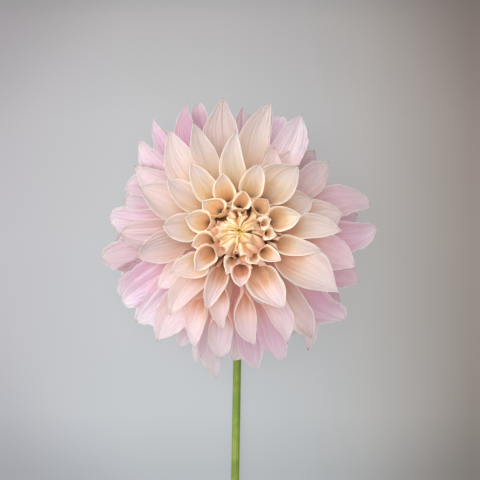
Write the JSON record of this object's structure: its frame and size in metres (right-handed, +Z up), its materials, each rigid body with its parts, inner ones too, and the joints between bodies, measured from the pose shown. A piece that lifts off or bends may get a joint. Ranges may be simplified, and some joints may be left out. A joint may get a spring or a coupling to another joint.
{
  "type": "dinner plate dahlia",
  "caption": "Cut dinner plate dahlia lying face up: a broad layered bloom of rolled and pointed petals round a closed eye, on a bare stem bent back along the surface.",
  "frame": {"origin": "centre of the bounding box at the surface that the flower lies on", "axes": "+Z up out of the face of the bloom, -Y along the stem towards its cut end"},
  "size_m": [0.2272, 0.4038, 0.0995],
  "materials": {
    "stem": "smooth green stem with a faint bloom",
    "inner_bracts": "thin papery bracts",
    "ray_florets": "soft petals, blush and cream with lilac outside",
    "eye": "closed golden florets"
  },
  "bodies": {
    "root": {"stem": "stem", "inner_bracts": "inner_bracts", "ray_florets": "ray_florets", "eye": "eye"}
  },
  "joints": []
}
